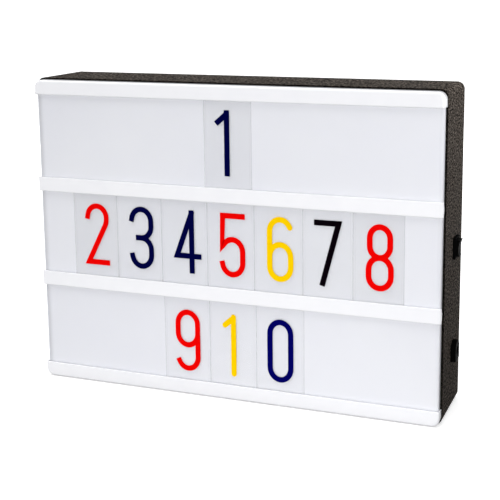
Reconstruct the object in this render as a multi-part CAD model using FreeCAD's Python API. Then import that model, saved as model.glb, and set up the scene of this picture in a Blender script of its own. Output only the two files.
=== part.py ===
import FreeCAD, Part
import math
import os

# Letter light box: a black rear casing closed by a white translucent cover. Four white rails on the
# cover form three rows of channels, and clear character cards slide in them. A rocker switch and a
# round low-voltage inlet sit in the right wall. Behind the cover stand a white reflector plate with
# LED strips, a driver board, the wiring and a battery tray that a door in the back closes.
#
# Millimetres. X runs to the viewer's right, Y from the front to the back, Z up.
# The origin is the middle of the base: on the standing plane, halfway along the width and depth.

V = FreeCAD.Vector
os.makedirs("parts", exist_ok=True)

# ---------------------------------------------------------------- driving dimensions
# rear casing
box_width = 300.0
box_height = 224.0
casing_depth = 54.2          # front rim to back face
casing_wall = 2.5
casing_corner = 5.0          # radius of the four edges that run front to back
casing_back_round = 1.2      # rounding around the back face

# front cover
cover_inset = 1.5            # its side faces lie this far inside the casing's faces
cover_top_inset = 2.2        # and so its top face
cover_foot_inset = 1.3       # and its lower face
cover_corner = 4.6
cover_stand = 4.3            # its front face stands this far in front of the casing's rim
cover_plate = 2.0
cover_spigot_wall = 1.5
cover_spigot_length = 6.0
cover_spigot_gap = 0.2
cover_edge_round = 1.4
cover_inside_round = 1.0

# rails
row_count = 3
rail_proud = 2.3             # rail face in front of the cover's face
rail_lip = 1.3               # thickness of the lip that holds the cards
rail_height = 10.7
rail_web = 5.0               # height of a rail's web between its two grooves
rail_overhang = 1.0          # rails reach this far past the cover's side faces
rail_end_round = 1.6
rail_lower_round = 1.1
rail_upper_round = 0.25
rail_cap_gap = 0.1           # between the end rails' returns and the cover

# character cards
card_width = 35.0
card_gap = 0.1
card_thickness = 0.7
card_bottom_gap = 0.1
card_top_gap = 0.5
card_corner = 0.8
card_rows = ((1, 0.3), (7, 1.5), (3, 2.4))   # from the top: how many cards, middle of the group

# reflector plate and LED strips
reflector_clear = 3.0        # between the plate and the switch behind it
reflector_thickness = 1.5
reflector_gap = 0.4
wire_hole_radius = 4.0
wire_hole_rise = 12.0        # hole's middle above the strip that it feeds
strip_count = 4
strip_end_margin = 30.0      # casing's side face to the strip's end
strip_width = 8.0
strip_thickness = 0.8
led_count = 10
led_side = 5.0
led_height = 1.6

# casing screws and their bosses
boss_inset_x = 16.0
boss_inset_z = 14.0
boss_radius = 5.0
boss_spigot_radius = 2.6
boss_spigot_gap = 0.1
boss_floor = 4.5             # plastic between the reflector plate and the screw head
cover_boss_radius = 3.5
screw_radius = 1.45
screw_reach = 8.0            # thread inside the cover's boss
screw_head_radius = 2.9
screw_head_height = 2.2
screw_head_round = 0.6
screw_hole_gap = 0.15
screw_head_gap = 0.4
screw_pilot_gap = 0.05
screw_pilot_spare = 1.0
cross_length = 3.2
cross_width = 0.8
cross_depth = 1.2

# keyholes for hanging the box on two wall screws
keyhole_spacing = 200.0
keyhole_below_top = 39.0
keyhole_entry_radius = 4.25
keyhole_slot_width = 4.2
keyhole_rise = 10.0

# rocker switch in the right wall
side_parts_back = 29.9       # casing's rim to the middle of the switch and of the inlet
switch_above_middle = 3.0
bezel_length = 14.4
bezel_width = 12.6
bezel_thickness = 2.0
bezel_round = 0.6
housing_length = 13.2
housing_width = 9.0
housing_depth = 13.0
housing_gap = 0.15
rocker_length = 11.2
rocker_width = 7.4
rocker_side_gap = 0.3
rocker_end_gap = 0.5
rocker_tip = 3.4             # tips of the rocker's face in front of its pivot
rocker_dish = 1.1            # depth of the hollow between the tips
rocker_root = 1.3            # how far the rocker's end faces reach behind its pivot
rocker_shoulder = 2.5        # where the taper towards the keel begins, behind the pivot
rocker_shoulder_half = 2.6
rocker_keel = 5.5
rocker_keel_half = 1.1
rocker_pivot_out = 1.0       # pivot in front of the casing's wall
rocker_pin_radius = 0.6
rocker_pin_length = 0.9
rocker_pin_gap = 0.05
rocker_pin_end_gap = 0.1
rocker_tilt = 4.0            # degrees each way from the middle
rocker_well_spare = 2.5      # free depth behind the keel
switch_terminal_length = 6.0
switch_terminal_width = 4.6
switch_terminal_thickness = 0.8
switch_terminal_spacing = 9.0

# power inlet in the right wall
inlet_z = 42.8
inlet_collar_height = 14.0
inlet_collar_width = 12.8
inlet_collar_proud = 3.6
inlet_collar_top_corner = 5.0
inlet_collar_low_corner = 1.2
inlet_collar_round = 0.8
inlet_body_height = 11.6
inlet_body_width = 8.6
inlet_body_depth = 12.0
inlet_bore_radius = 3.15
inlet_bore_depth = 10.0
inlet_pin_radius = 1.0
inlet_pin_gap = 0.02
inlet_pin_root = 1.8
inlet_pin_recess = 1.4       # its tip behind the collar's face
inlet_pin_round = 0.4
inlet_terminal_length = 5.0
inlet_terminal_width = 3.0
inlet_terminal_thickness = 0.6
inlet_terminal_spacing = 5.0

# battery tray and cells
cell_rows = 3
cell_radius = 7.1
cell_length = 49.2
cell_edge_round = 0.6
cell_nub_radius = 2.75
cell_nub_height = 1.3
cell_gap = 0.3
cell_door_gap = 0.5          # between the cells and the door's inner ribs
cell_rib = 0.8
cell_rib_height = 7.0
cell_rib_end_gap = 5.0
tray_middle_wall = 1.6
tray_floor = 1.5
tray_rim_wall = 1.5
contact_thickness = 0.4
contact_width = 10.0
contact_play = 0.05
spring_reach = 2.85
spring_width = 5.0
spring_spread = 3.3          # its feet on the contact, from the cell's axis
spring_foot = 0.45
spring_crown = 0.9           # its flat top, outside and inside
spring_crown_inside = 0.6
clip_width = 6.0
tab_reach = 3.0
tab_width = 3.0
tab_gap = 0.1

# battery door
door_thickness = 2.3
door_gap = 0.2
door_side_margin = 2.0       # door opening beyond the cell bays, left and right
door_end_margin = 1.8        # the same, above and below
door_corner = 1.5
hook_count = 2
hook_spacing = 76.0
hook_width = 10.0
hook_thickness = 1.5
hook_reach = 2.5
hook_root = 3.0
hook_wall_gap = 0.2
hook_end_gap = 0.8
hook_pocket_depth = 3.8
catch_count = 2
catch_spacing = 60.0
catch_width = 8.0
catch_radius = 0.5
catch_gap = 0.2
thumb_radius = 7.0
thumb_depth = 1.4
thumb_rise = 1.0
grip_count = 4
grip_length = 20.0
grip_width = 1.0
grip_depth = 0.5
grip_pitch = 2.4
grip_from_top = 3.0
door_rib_count = 2
door_rib_spacing = 56.0
door_rib_width = 1.2
door_rib_height = 1.2
door_rib_end_gap = 3.0

# driver board
board_width = 34.0
board_height = 32.0
board_below_middle = 1.0
board_thickness = 1.6
board_standoff = 8.3
standoff_radius = 2.5
board_hole_inset = 3.4
board_screw_radius = 1.0
board_screw_gap = 0.05
board_screw_head_radius = 2.1
board_screw_head_height = 1.5
board_screw_reach = 5.0
board_screw_spare = 0.5
plug_depth = 6.0
plug_height = 6.0
plug_length = 8.0
plug_gap = 2.0
plug_inset = 1.0
plug_wire_spacing = 4.0
capacitor_radius = 4.0
capacitor_height = 11.0
capacitor_round = 0.5
coil_side = 7.0
coil_height = 4.0
coil_corner = 1.5
chip_width = 8.0
chip_length = 6.0
chip_height = 2.0
part_gap = 1.0
strip_plug_height = 3.0
strip_plug_depth = 5.0

# wiring
wire_diameter = 1.2
link_diameter = 0.7
link_spacing = 4.0
link_end_inset = 3.0
bend_share = 0.45            # share of the shorter run that an arc may take

# construction
over = 1.0                   # how far a cutting tool runs past the surface that it cuts
tiny = 1e-4

# ---------------------------------------------------------------- planes and spans
half_width = box_width / 2
total_depth = rail_proud + cover_stand + casing_depth
rail_face_y = -total_depth / 2
cover_y = rail_face_y + rail_proud
rim_y = cover_y + cover_stand
back_y = rim_y + casing_depth
inner_back_y = back_y - casing_wall
inner_half = half_width - casing_wall
inner_low = casing_wall
inner_high = box_height - casing_wall
inner_corner = casing_corner - casing_wall

cover_half = half_width - cover_inset
cover_low = cover_foot_inset
cover_high = box_height - cover_top_inset
cover_inner_y = cover_y + cover_plate
spigot_half = inner_half - cover_spigot_gap
spigot_low = inner_low + cover_spigot_gap
spigot_high = inner_high - cover_spigot_gap
spigot_corner = inner_corner - cover_spigot_gap
spigot_end_y = rim_y + cover_spigot_length

rail_half = cover_half + rail_overhang
rail_low = cover_low - rail_overhang
rail_high = cover_high + rail_overhang
rail_corner = cover_corner + rail_overhang
rail_pitch = (rail_high - rail_low - rail_height) / row_count
groove_depth = (rail_height - rail_web) / 2
lip_y = rail_face_y + rail_lip
cap_end_y = rim_y - rail_cap_gap

card_y = (lip_y + cover_y) / 2
card_height = rail_pitch - rail_height + 2 * groove_depth - card_bottom_gap - card_top_gap

side_y = rim_y + side_parts_back
switch_z = box_height / 2 + switch_above_middle
reflector_back_y = side_y - max(housing_width, inlet_body_width) / 2 - reflector_clear
reflector_y = reflector_back_y - reflector_thickness
strip_face_y = reflector_y - strip_thickness
strip_half = half_width - strip_end_margin
strip_pitch = box_height / strip_count
strip_z = [strip_pitch * (index + 0.5) for index in range(strip_count)]
led_pitch = 2 * strip_half / led_count

boss_x = (-(half_width - boss_inset_x), 0.0, half_width - boss_inset_x)
boss_z = (boss_inset_z, box_height - boss_inset_z)
boss_places = [(x, z) for z in boss_z for x in boss_x]
head_seat_y = reflector_back_y + boss_floor
screw_tip_y = reflector_y - screw_reach

pivot_x = half_width + rocker_pivot_out
housing_back_x = half_width - housing_depth
inlet_face_x = half_width + inlet_collar_proud
inlet_floor_x = inlet_face_x - inlet_bore_depth
inlet_back_x = half_width - inlet_body_depth

row_step = 2 * cell_radius + 2 * cell_gap + cell_rib
bay_height = cell_rows * row_step - cell_rib
bay_length = cell_length + cell_nub_height + 2 * contact_thickness + spring_reach + 2 * contact_play
bay_outer = bay_length + tray_middle_wall / 2
bay_spans = ((-bay_outer, -tray_middle_wall / 2), (tray_middle_wall / 2, bay_outer))
bay_low = box_height / 2 - bay_height / 2
bay_high = bay_low + bay_height
row_z = [bay_low + cell_gap + cell_radius + row * row_step for row in range(cell_rows)]
row_plus = [1 if row % 2 == 0 else -1 for row in range(cell_rows)]   # side of a row's plus ends
door_half = bay_outer + door_side_margin
door_low = bay_low - door_end_margin
door_high = bay_high + door_end_margin
door_inner_y = back_y - door_thickness
cell_y = inner_back_y - door_rib_height - cell_door_gap - cell_radius
tray_floor_y = cell_y - cell_radius - cell_gap
pocket_low = door_low - hook_reach - hook_end_gap
pocket_y = inner_back_y - hook_pocket_depth
tray_half = door_half + tray_rim_wall
tray_high = door_high + tray_rim_wall
tab_end_x = tray_half + tab_reach

switch_wire_x = housing_back_x - switch_terminal_length
board_x = (tab_end_x + switch_wire_x) / 2
board_z = box_height / 2 - board_below_middle
board_left = board_x - board_width / 2
board_right = board_x + board_width / 2
board_low = board_z - board_height / 2
board_high = board_z + board_height / 2
board_back_y = inner_back_y - board_standoff
board_front_y = board_back_y - board_thickness
board_holes = [(x, z) for x in (board_left + board_hole_inset, board_right - board_hole_inset)
               for z in (board_low + board_hole_inset, board_high - board_hole_inset)]
plug_y = board_front_y - plug_height
plug_wire_y = board_front_y - plug_height / 2
left_plug_x = board_left + plug_inset
right_plug_x = board_right - plug_inset
top_plug_z = board_high - plug_inset
right_plug_z = [board_z + side * (plug_length + plug_gap) / 2 for side in (-1, 1)]
fed_strip_z = strip_z[strip_count // 2]
wire_hole_z = fed_strip_z + wire_hole_rise
led_x = [led_pitch * (index + 0.5) - strip_half for index in range(led_count)]
between_leds = [(left + right) / 2 for left, right in zip(led_x, led_x[1:])]
feed_x = min(between_leds, key=lambda x: abs(x - board_x))
strip_plug_wire_y = strip_face_y - strip_plug_height / 2
strip_plug_z = fed_strip_z + strip_plug_depth / 2

keyhole_z = box_height - keyhole_below_top


# ---------------------------------------------------------------- helpers
def centred(count, pitch):
    return [pitch * (index - (count - 1) / 2) for index in range(count)]


def block(x0, x1, y0, y1, z0, z1):
    return Part.makeBox(x1 - x0, y1 - y0, z1 - z0, V(x0, y0, z0))


def slab(x, half_x, y0, y1, z, half_z):
    """A block centred on x and z."""
    return block(x - half_x, x + half_x, y0, y1, z - half_z, z + half_z)


def rod_y(radius, x, z, y0, y1):
    return Part.makeCylinder(radius, y1 - y0, V(x, y0, z), V(0, 1, 0))


def rod_x(radius, y, z, x0, x1):
    return Part.makeCylinder(radius, abs(x1 - x0), V(min(x0, x1), y, z), V(1, 0, 0))


def edges_along(solid, axis):
    """The straight edges that run along "x", "y" or "z"."""
    found = []
    for edge in solid.Edges:
        box = edge.BoundBox
        spans = {"x": box.XLength, "y": box.YLength, "z": box.ZLength}
        length = spans.pop(axis)
        if length > tiny and max(spans.values()) < tiny:
            found.append(edge)
    return found


def edges_at(solid, axis, at):
    """The edges that lie wholly in one plane across an axis."""
    found = []
    for edge in solid.Edges:
        box = edge.BoundBox
        low = {"x": box.XMin, "y": box.YMin, "z": box.ZMin}[axis]
        high = {"x": box.XMax, "y": box.YMax, "z": box.ZMax}[axis]
        if abs(low - at) < tiny and abs(high - at) < tiny:
            found.append(edge)
    return found


def rounded_block(x0, x1, y0, y1, z0, z1, axis, radius):
    """A block whose four edges along one axis are rounded."""
    solid = block(x0, x1, y0, y1, z0, z1)
    return solid.makeFillet(radius, edges_along(solid, axis))


def round_face(solid, axis, at, radius):
    """Rounds the outline of the face that lies at one place along an axis."""
    return solid.makeFillet(radius, edges_at(solid, axis, at))


def fused(solids):
    first = solids[0]
    if len(solids) > 1:
        first = first.multiFuse(solids[1:])
    return first.removeSplitter()


def cut_all(solid, tools):
    for tool in tools:
        solid = solid.cut(tool)
    return solid


def wire_tube(points, diameter, name):
    """A round wire on straight runs joined by tangent arcs."""
    route = [V(*point) for point in points]
    edges = []
    radii = []
    start = route[0]
    for before, corner, after in zip(route, route[1:], route[2:]):
        arrive = corner - before
        leave = after - corner
        turn = arrive.getAngle(leave)
        setback = bend_share * min(arrive.Length, leave.Length)
        arrive.normalize()
        leave.normalize()
        radius = setback / math.tan(turn / 2)
        radii.append(radius)
        inward = leave - arrive
        inward.normalize()
        middle = corner + inward * (radius / math.cos(turn / 2) - radius)
        edges.append(Part.LineSegment(start, corner - arrive * setback).toShape())
        edges.append(Part.Arc(corner - arrive * setback, middle, corner + leave * setback).toShape())
        start = corner + leave * setback
    edges.append(Part.LineSegment(start, route[-1]).toShape())
    path = Part.Wire(edges)
    section = Part.Wire([Part.makeCircle(diameter / 2, route[0], route[1] - route[0])])
    tube = path.makePipeShell([section], True, True)
    share = tube.Volume / (path.Length * math.pi * diameter ** 2 / 4)
    tightest = min(radii) / diameter
    print("%s: length %.1f, tightest bend %.1f diameters, volume %.4f of section times length"
          % (name, path.Length, tightest, share))
    return tube


def save(name, solids):
    shape = solids[0] if len(solids) == 1 else Part.makeCompound(solids)
    shape.exportStep("parts/" + name + ".step")
    bad = [solid for solid in shape.Solids if not solid.isValid()]
    print("%-18s solids %2d  volume %10.1f  bad %d" % (name, len(shape.Solids), shape.Volume, len(bad)))


# ---------------------------------------------------------------- rear casing
def keyhole(x):
    y0 = inner_back_y - over
    y1 = back_y + over
    entry = rod_y(keyhole_entry_radius, x, keyhole_z, y0, y1)
    slot = slab(x, keyhole_slot_width / 2, y0, y1, keyhole_z + keyhole_rise / 2, keyhole_rise / 2)
    end = rod_y(keyhole_slot_width / 2, x, keyhole_z + keyhole_rise, y0, y1)
    return [entry, slot, end]


def side_opening(z, length, width):
    """The hole in the right wall that a housing passes through."""
    return block(inner_half - over, half_width + over, side_y - width / 2 - housing_gap,
                 side_y + width / 2 + housing_gap, z - length / 2 - housing_gap, z + length / 2 + housing_gap)


def door_opening():
    """The door's hole, the notches over its catches and the scallop for a thumb."""
    tools = [rounded_block(-door_half, door_half, inner_back_y - over, back_y + over, door_low, door_high,
                           "y", door_corner)]
    catch_y = back_y - door_thickness / 2 - catch_radius - catch_gap
    catch_top = door_high - door_gap + catch_radius + catch_gap
    for x in centred(catch_count, catch_spacing):
        half = catch_width / 2 + catch_gap
        tools.append(block(x - half, x + half, catch_y, back_y + over, door_high - over, catch_top))
    tools.append(rod_y(thumb_radius, 0, door_high + thumb_rise, back_y - thumb_depth, back_y + over))
    return tools


def rear_casing():
    outer = rounded_block(-half_width, half_width, rim_y, back_y, 0, box_height, "y", casing_corner)
    outer = round_face(outer, "y", back_y, casing_back_round)
    hollow = rounded_block(-inner_half, inner_half, rim_y - over, inner_back_y, inner_low, inner_high,
                           "y", inner_corner)
    pieces = [outer.cut(hollow)]
    tools = []
    rooted_y = inner_back_y + casing_wall / 2
    for x, z in boss_places:
        pieces.append(rod_y(boss_radius, x, z, reflector_back_y, rooted_y))
        pieces.append(rod_y(boss_spigot_radius, x, z, reflector_y, rooted_y))
        tools.append(rod_y(screw_head_radius + screw_head_gap, x, z, head_seat_y, back_y + over))
        tools.append(rod_y(screw_radius + screw_hole_gap, x, z, reflector_y - over, head_seat_y + over))
    for x, z in board_holes:
        pieces.append(rod_y(standoff_radius, x, z, board_back_y, rooted_y))
        tools.append(rod_y(board_screw_radius + board_screw_gap, x, z, board_back_y - over,
                           board_front_y + board_screw_reach + board_screw_spare))
    for side in (-1, 1):
        tools.extend(keyhole(side * keyhole_spacing / 2))
    tools.extend(door_opening())
    tools.append(side_opening(switch_z, housing_length, housing_width))
    tools.append(side_opening(inlet_z, inlet_body_height, inlet_body_width))
    return cut_all(fused(pieces), tools)


# ---------------------------------------------------------------- front cover
def front_cover():
    outer = rounded_block(-cover_half, cover_half, cover_y, rim_y, cover_low, cover_high, "y", cover_corner)
    outer = round_face(outer, "y", cover_y, cover_edge_round)
    spigot = rounded_block(-spigot_half, spigot_half, rim_y - over, spigot_end_y, spigot_low, spigot_high,
                           "y", spigot_corner)
    wall = cover_spigot_wall
    hollow = rounded_block(-spigot_half + wall, spigot_half - wall, cover_inner_y, spigot_end_y + over,
                           spigot_low + wall, spigot_high - wall, "y", cover_inside_round)
    pieces = [fused([outer, spigot]).cut(hollow)]
    tools = []
    for x, z in boss_places:
        pieces.append(rod_y(cover_boss_radius, x, z, cover_inner_y - cover_plate / 2, reflector_y))
        tools.append(rod_y(screw_radius + screw_pilot_gap, x, z, screw_tip_y - screw_pilot_spare,
                           reflector_y + over))
    return cut_all(fused(pieces), tools)


# ---------------------------------------------------------------- rails
def rail_bottom_z(index):
    return rail_low + index * rail_pitch


def rail(index):
    """Rail 0 is the lowest. The lowest and the highest wrap round the cover's edge."""
    lowest = index == 0
    highest = index == row_count
    low = rail_bottom_z(index)
    high = low + rail_height
    skin = rounded_block(-rail_half, rail_half, rail_face_y, cap_end_y, rail_low, rail_high,
                         "y", rail_corner)
    skin = round_face(skin, "y", rail_face_y, rail_end_round)
    core = rounded_block(-cover_half - rail_cap_gap, cover_half + rail_cap_gap, cover_y, cap_end_y + over,
                         cover_low - rail_cap_gap, cover_high + rail_cap_gap, "y",
                         cover_corner + rail_cap_gap)
    band = block(-rail_half - over, rail_half + over, rail_face_y - over,
                 cap_end_y if lowest or highest else cover_y,
                 low - over if lowest else low, high + over if highest else high)
    body = skin.common(band)
    for z, radius, rounded in ((low, rail_lower_round, not lowest), (high, rail_upper_round, not highest)):
        if rounded:
            front = [edge for edge in edges_at(body, "z", z)
                     if edge.BoundBox.YMax < rail_face_y + tiny and edge.BoundBox.XLength > rail_half]
            body = body.makeFillet(radius, front)
    body = body.cut(core)
    span = rail_half + over
    if not lowest:
        body = body.cut(block(-span, span, lip_y, cover_y, low - over, low + groove_depth))
    if not highest:
        body = body.cut(block(-span, span, lip_y, cover_y, high - groove_depth, high + over))
    return body


# ---------------------------------------------------------------- character cards
def card(row, place):
    """Row 0 is the top row; place counts from the left."""
    count, middle = card_rows[row]
    x = middle + centred(count, card_width + card_gap)[place]
    seat = rail_bottom_z(row_count - 1 - row) + rail_height - groove_depth + card_bottom_gap
    return rounded_block(x - card_width / 2, x + card_width / 2, card_y - card_thickness / 2,
                         card_y + card_thickness / 2, seat, seat + card_height, "y", card_corner)


# ---------------------------------------------------------------- light unit
def reflector_plate():
    gap = reflector_gap
    plate = rounded_block(-inner_half + gap, inner_half - gap, reflector_y, reflector_back_y,
                          inner_low + gap, inner_high - gap, "y", inner_corner - gap)
    tools = [rod_y(boss_spigot_radius + boss_spigot_gap, x, z, reflector_y - over, reflector_back_y + over)
             for x, z in boss_places]
    tools.append(rod_y(wire_hole_radius, feed_x, wire_hole_z, reflector_y - over, reflector_back_y + over))
    return cut_all(plate, tools)


def led_strips():
    return [slab(0, strip_half, strip_face_y, reflector_y, z, strip_width / 2) for z in strip_z]


def leds():
    return [slab(x, led_side / 2, strip_face_y - led_height, strip_face_y, z, led_side / 2)
            for z in strip_z for x in led_x]


def strip_plug():
    return block(feed_x - plug_length / 2, feed_x + plug_length / 2, strip_face_y - strip_plug_height,
                 strip_face_y, fed_strip_z - strip_plug_depth / 2, strip_plug_z)


# ---------------------------------------------------------------- rocker switch
def switch_housing():
    face_x = half_width + bezel_thickness
    bezel = block(half_width, face_x, side_y - bezel_width / 2, side_y + bezel_width / 2,
                  switch_z - bezel_length / 2, switch_z + bezel_length / 2)
    bezel = round_face(bezel, "x", face_x, bezel_round)
    tail = block(housing_back_x, half_width + bezel_thickness / 2, side_y - housing_width / 2,
                 side_y + housing_width / 2, switch_z - housing_length / 2, switch_z + housing_length / 2)
    well_side = rocker_width / 2 + rocker_side_gap
    well_end = rocker_length / 2 + rocker_end_gap
    well = block(pivot_x - rocker_keel - rocker_well_spare, face_x + over, side_y - well_side,
                 side_y + well_side, switch_z - well_end, switch_z + well_end)
    hole = rocker_width / 2 + rocker_pin_length + rocker_pin_end_gap
    pin_hole = rod_y(rocker_pin_radius + rocker_pin_gap, pivot_x, switch_z, side_y - hole, side_y + hole)
    return cut_all(fused([bezel, tail]), [well, pin_hole])


def switch_rocker():
    """A dished rocker, shown with its upper end out."""
    y = side_y - rocker_width / 2
    half = rocker_length / 2
    face_x = pivot_x + rocker_tip
    upper_back = ((pivot_x - rocker_root, half), (pivot_x - rocker_shoulder, rocker_shoulder_half),
                  (pivot_x - rocker_keel, rocker_keel_half))
    outline = [V(face_x, y, switch_z + half)]
    outline += [V(x, y, switch_z + z) for x, z in upper_back]
    outline += [V(x, y, switch_z - z) for x, z in reversed(upper_back)]
    outline.append(V(face_x, y, switch_z - half))
    edges = [Part.LineSegment(start, end).toShape() for start, end in zip(outline, outline[1:])]
    dish = V(face_x - rocker_dish, y, switch_z)
    edges.append(Part.Arc(outline[-1], dish, outline[0]).toShape())
    body = Part.Face(Part.Wire(edges)).extrude(V(0, rocker_width, 0))
    reach = rocker_width / 2 + rocker_pin_length
    pins = rod_y(rocker_pin_radius, pivot_x, switch_z, side_y - reach, side_y + reach)
    rocker = fused([body, pins])
    rocker.rotate(V(pivot_x, side_y, switch_z), V(0, 1, 0), rocker_tilt)
    return rocker


def terminal_pair(root_x, length, width, thickness, z, spacing):
    return [block(root_x - length, root_x, side_y - width / 2, side_y + width / 2,
                  middle - thickness / 2, middle + thickness / 2)
            for middle in (z - spacing / 2, z + spacing / 2)]


# ---------------------------------------------------------------- power inlet
def inlet_socket():
    """An arched collar around the bore, on a body that passes through the wall."""
    collar = block(half_width, inlet_face_x, side_y - inlet_collar_width / 2,
                   side_y + inlet_collar_width / 2, inlet_z - inlet_collar_height / 2,
                   inlet_z + inlet_collar_height / 2)
    upper = [edge for edge in edges_along(collar, "x") if edge.BoundBox.ZMin > inlet_z]
    collar = collar.makeFillet(inlet_collar_top_corner, upper)
    foot = inlet_z - inlet_collar_height / 2
    lower = [edge for edge in edges_along(collar, "x") if abs(edge.BoundBox.ZMin - foot) < tiny]
    collar = collar.makeFillet(inlet_collar_low_corner, lower)
    collar = round_face(collar, "x", inlet_face_x, inlet_collar_round)
    body = block(inlet_back_x, half_width + inlet_collar_proud / 2, side_y - inlet_body_width / 2,
                 side_y + inlet_body_width / 2, inlet_z - inlet_body_height / 2,
                 inlet_z + inlet_body_height / 2)
    bore = rod_x(inlet_bore_radius, side_y, inlet_z, inlet_floor_x, inlet_face_x + over)
    seat = rod_x(inlet_pin_radius + inlet_pin_gap, side_y, inlet_z, inlet_floor_x - inlet_pin_root,
                 inlet_floor_x + over)
    return cut_all(fused([collar, body]), [bore, seat])


def inlet_pin():
    tip_x = inlet_face_x - inlet_pin_recess
    pin = rod_x(inlet_pin_radius, side_y, inlet_z, inlet_floor_x - inlet_pin_root, tip_x)
    return round_face(pin, "x", tip_x, inlet_pin_round)


# ---------------------------------------------------------------- batteries
def tab_row_and_side():
    """Each end of the series chain: its row and the side of the tray where its tab comes out."""
    return ((0, 1), (cell_rows - 1, row_plus[cell_rows - 1] * -1))


def battery_tray():
    outer = block(-tray_half, tray_half, tray_floor_y - tray_floor, inner_back_y,
                  pocket_low - tray_rim_wall, tray_high)
    tools = [block(-door_half, door_half, pocket_y, inner_back_y + over, pocket_low, door_high)]
    ribs = []
    for low, high in bay_spans:
        tools.append(block(low, high, tray_floor_y, pocket_y + over, bay_low, bay_high))
        for z in row_z[:-1]:
            rib_low = z + cell_radius + cell_gap
            ribs.append(block(low + cell_rib_end_gap, high - cell_rib_end_gap, tray_floor_y - tray_floor / 2,
                              tray_floor_y + cell_rib_height, rib_low, rib_low + cell_rib))
    tray = fused([cut_all(outer, tools)] + ribs)
    slots = []
    for row, side in tab_row_and_side():
        inner_x = side * (bay_outer - over)
        outer_x = side * (tray_half + over)
        half = tab_width / 2 + tab_gap
        thick = contact_thickness / 2 + tab_gap
        slots.append(block(min(inner_x, outer_x), max(inner_x, outer_x), cell_y - half, cell_y + half,
                           row_z[row] - thick, row_z[row] + thick))
    return cut_all(tray, slots)


def battery_cells():
    cells = []
    for low, high in bay_spans:
        for z, plus in zip(row_z, row_plus):
            end = contact_thickness + contact_play
            tip = high - end if plus == 1 else low + end
            shoulder = tip - plus * cell_nub_height
            foot = shoulder - plus * cell_length
            can = rod_x(cell_radius, cell_y, z, foot, shoulder)
            can = round_face(can, "x", foot, cell_edge_round)
            can = round_face(can, "x", shoulder, cell_edge_round)
            cells.append(fused([can, rod_x(cell_nub_radius, cell_y, z, shoulder, tip)]))
    return cells


def spring_leaf(face_x, inward, z):
    """A bent leaf that stands on a contact's face and presses on a cell's flat end."""
    apex = face_x + inward * spring_reach
    inner = apex - inward * contact_thickness
    half = spring_crown / 2
    half_inside = spring_crown_inside / 2
    bow = [(face_x, -spring_spread), (apex, -half), (apex, half), (face_x, spring_spread),
           (face_x, spring_spread - spring_foot), (inner, half_inside), (inner, -half_inside),
           (face_x, spring_foot - spring_spread)]
    corners = [V(x, cell_y + y, z - spring_width / 2) for x, y in bow]
    return Part.Face(Part.makePolygon(corners + corners[:1])).extrude(V(0, 0, spring_width))


def contact_plate(wall_x, inward, rows):
    """A plate on a bay's end wall behind one or more rows, with a leaf at each minus end."""
    face_x = wall_x + inward * contact_thickness
    low = min(row_z[row] for row in rows) - contact_width / 2
    high = max(row_z[row] for row in rows) + contact_width / 2
    pieces = [block(min(wall_x, face_x), max(wall_x, face_x), tray_floor_y, tray_floor_y + contact_width,
                    low, high)]
    for row in rows:
        if row_plus[row] == inward:
            pieces.append(spring_leaf(face_x, inward, row_z[row]))
    return pieces


def middle_clip(row):
    """A clip over the middle wall that joins the two cells of a row."""
    half = tray_middle_wall / 2
    outer = half + contact_thickness
    clip = block(-outer, outer, tray_floor_y, pocket_y + contact_thickness,
                 row_z[row] - clip_width / 2, row_z[row] + clip_width / 2)
    clip = clip.cut(block(-half, half, tray_floor_y - over, pocket_y, row_z[row] - clip_width,
                          row_z[row] + clip_width))
    side = row_plus[row]
    return fused([clip, spring_leaf(side * outer, side, row_z[row])])


def battery_contacts():
    contacts = [middle_clip(row) for row in range(cell_rows)]
    for row, side in tab_row_and_side():
        wall_x = side * bay_outer
        tab_root = side * (bay_outer - contact_thickness)
        tab_end = side * tab_end_x
        tab = block(min(tab_root, tab_end), max(tab_root, tab_end), cell_y - tab_width / 2,
                    cell_y + tab_width / 2, row_z[row] - contact_thickness / 2,
                    row_z[row] + contact_thickness / 2)
        contacts.append(fused(contact_plate(wall_x, -side, [row]) + [tab]))
    for row in range(cell_rows - 1):
        side = row_plus[row] * -1
        contacts.append(fused(contact_plate(side * bay_outer, -side, [row, row + 1])))
    return contacts


def battery_door():
    inner = door_inner_y
    low = door_low + door_gap
    high = door_high - door_gap
    bite = door_thickness / 4
    pieces = [rounded_block(-door_half + door_gap, door_half - door_gap, inner, back_y, low, high, "y",
                            door_corner - door_gap)]
    hook_y = inner_back_y - hook_wall_gap
    for x in centred(hook_count, hook_spacing):
        half = hook_width / 2
        pieces.append(block(x - half, x + half, hook_y - hook_thickness, inner + bite,
                            low + door_gap, low + door_gap + hook_root))
        pieces.append(block(x - half, x + half, hook_y - hook_thickness, hook_y,
                            door_low - hook_reach, low + door_gap + hook_root / 2))
    for x in centred(catch_count, catch_spacing):
        pieces.append(rod_x(catch_radius, back_y - door_thickness / 2, high, x - catch_width / 2,
                            x + catch_width / 2))
    for x in centred(door_rib_count, door_rib_spacing):
        pieces.append(block(x - door_rib_width / 2, x + door_rib_width / 2, inner - door_rib_height,
                            inner + bite, low + door_rib_end_gap, high - door_rib_end_gap))
    grips = []
    for index in range(grip_count):
        top = high - grip_from_top - index * grip_pitch
        grips.append(block(-grip_length / 2, grip_length / 2, back_y - grip_depth, back_y + over,
                           top - grip_width, top))
    return cut_all(fused(pieces), grips)


# ---------------------------------------------------------------- driver board
def driver_board():
    board = block(board_left, board_right, board_front_y, board_back_y, board_low, board_high)
    return cut_all(board, [rod_y(board_screw_radius + board_screw_gap, x, z, board_front_y - over,
                                 board_back_y + over) for x, z in board_holes])


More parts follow.
